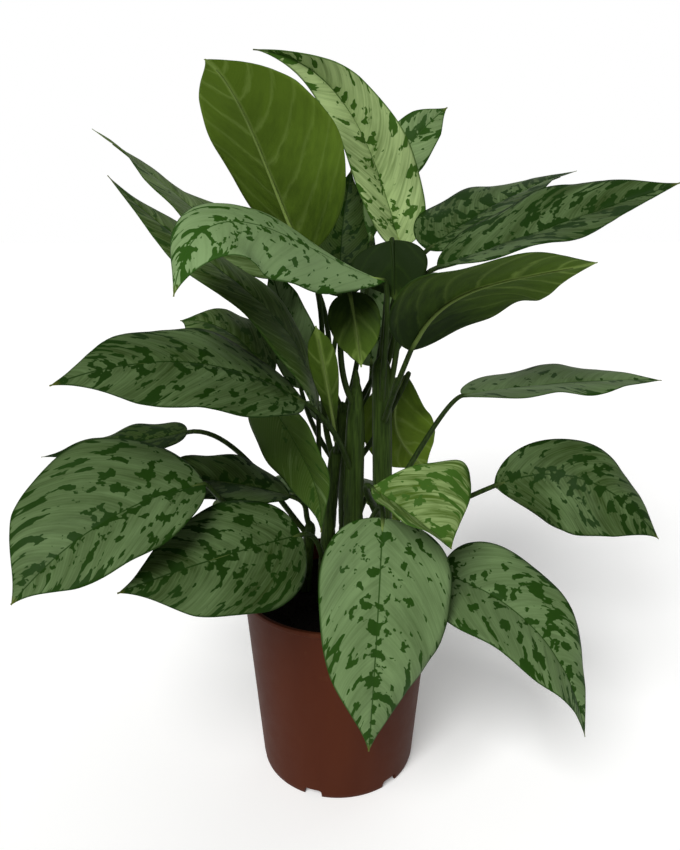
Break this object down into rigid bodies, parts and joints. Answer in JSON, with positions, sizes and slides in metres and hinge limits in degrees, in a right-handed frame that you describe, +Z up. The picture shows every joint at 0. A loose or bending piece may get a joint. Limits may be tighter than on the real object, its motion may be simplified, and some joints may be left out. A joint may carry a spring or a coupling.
{
  "type": "potted dieffenbachia",
  "caption": "House plant with broad, blotched leaves on long stalks, growing from short thick canes in a round nursery pot of soil.",
  "frame": {"origin": "centre of the pot's underside, on the surface that the pot stands on", "axes": "+Z up, the plant's height; the front faces -Y; +X is to the right when it is seen from the front"},
  "size_m": [0.5272, 0.3842, 0.6156],
  "materials": {
    "pot": "matte, reddish brown",
    "soil": "dark, crumbly",
    "cane": "smooth, satin",
    "leaf": "satin, blotched"
  },
  "bodies": {
    "root": {"pot": "pot", "soil": "soil", "cane_right": "cane", "cane_middle": "cane", "cane_left": "cane", "cane_low": "cane", "cane_back": "cane", "leaf_top_left": "leaf", "leaf_top_arched": "leaf", "leaf_top_behind": "leaf", "leaf_left_high": "leaf", "leaf_left_rising": "leaf", "leaf_left_silver": "leaf", "leaf_right_underside": "leaf", "leaf_right_high": "leaf", "leaf_right_broad": "leaf", "leaf_crown_nodding": "leaf", "leaf_left_middle": "leaf", "leaf_left_behind": "leaf", "leaf_left_hanging": "leaf", "leaf_left_dark": "leaf", "leaf_left_wide": "leaf", "leaf_left_small": "leaf", "leaf_left_low": "leaf", "leaf_front": "leaf", "leaf_young_folded": "leaf", "leaf_right_low": "leaf", "leaf_right_round": "leaf", "leaf_right_middle": "leaf", "leaf_right_inner": "leaf", "leaf_spear": "leaf", "leaf_inner_nodding": "leaf", "leaf_back_tall": "leaf", "leaf_back_right": "leaf", "leaf_back_high": "leaf", "leaf_back_low_left": "leaf", "leaf_back_low_right": "leaf", "leaf_back_middle": "leaf", "leaf_back_left": "leaf"}
  },
  "joints": []
}
